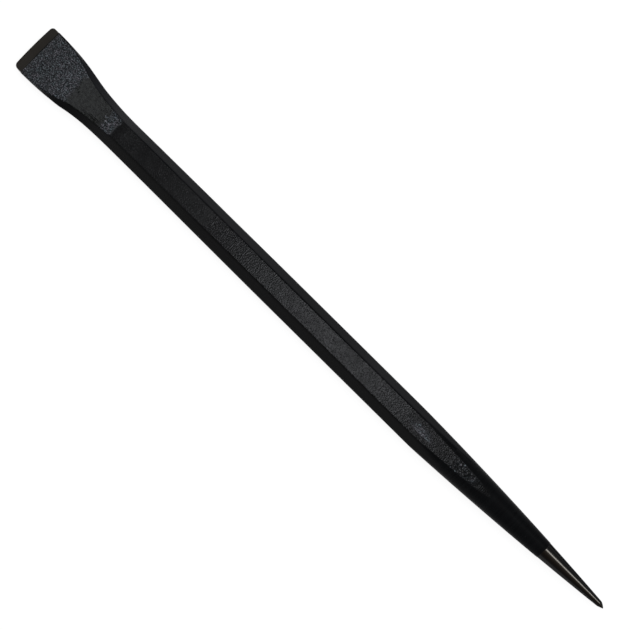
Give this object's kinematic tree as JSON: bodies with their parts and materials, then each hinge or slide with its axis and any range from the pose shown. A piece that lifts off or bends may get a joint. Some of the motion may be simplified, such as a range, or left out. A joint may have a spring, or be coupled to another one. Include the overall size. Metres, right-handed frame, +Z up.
{
  "type": "alignment bar",
  "caption": "One-piece forged steel alignment bar: hexagonal shank with a flared chisel at one end and a long round point at the other.",
  "frame": {"origin": "middle of the bar's overall box, on the surface it lies on", "axes": "+X along the bar from the chisel edge to the point, +Y across the chisel's width, +Z up from the flat it lies on"},
  "size_m": [0.4572, 0.0316, 0.0191],
  "materials": {
    "black_paint": "satin black paint over forging scale, finely pebbled on the lying flats, ground bare at the chisel edge and the point"
  },
  "bodies": {
    "root": {"forged_bar": "black_paint"}
  },
  "joints": []
}
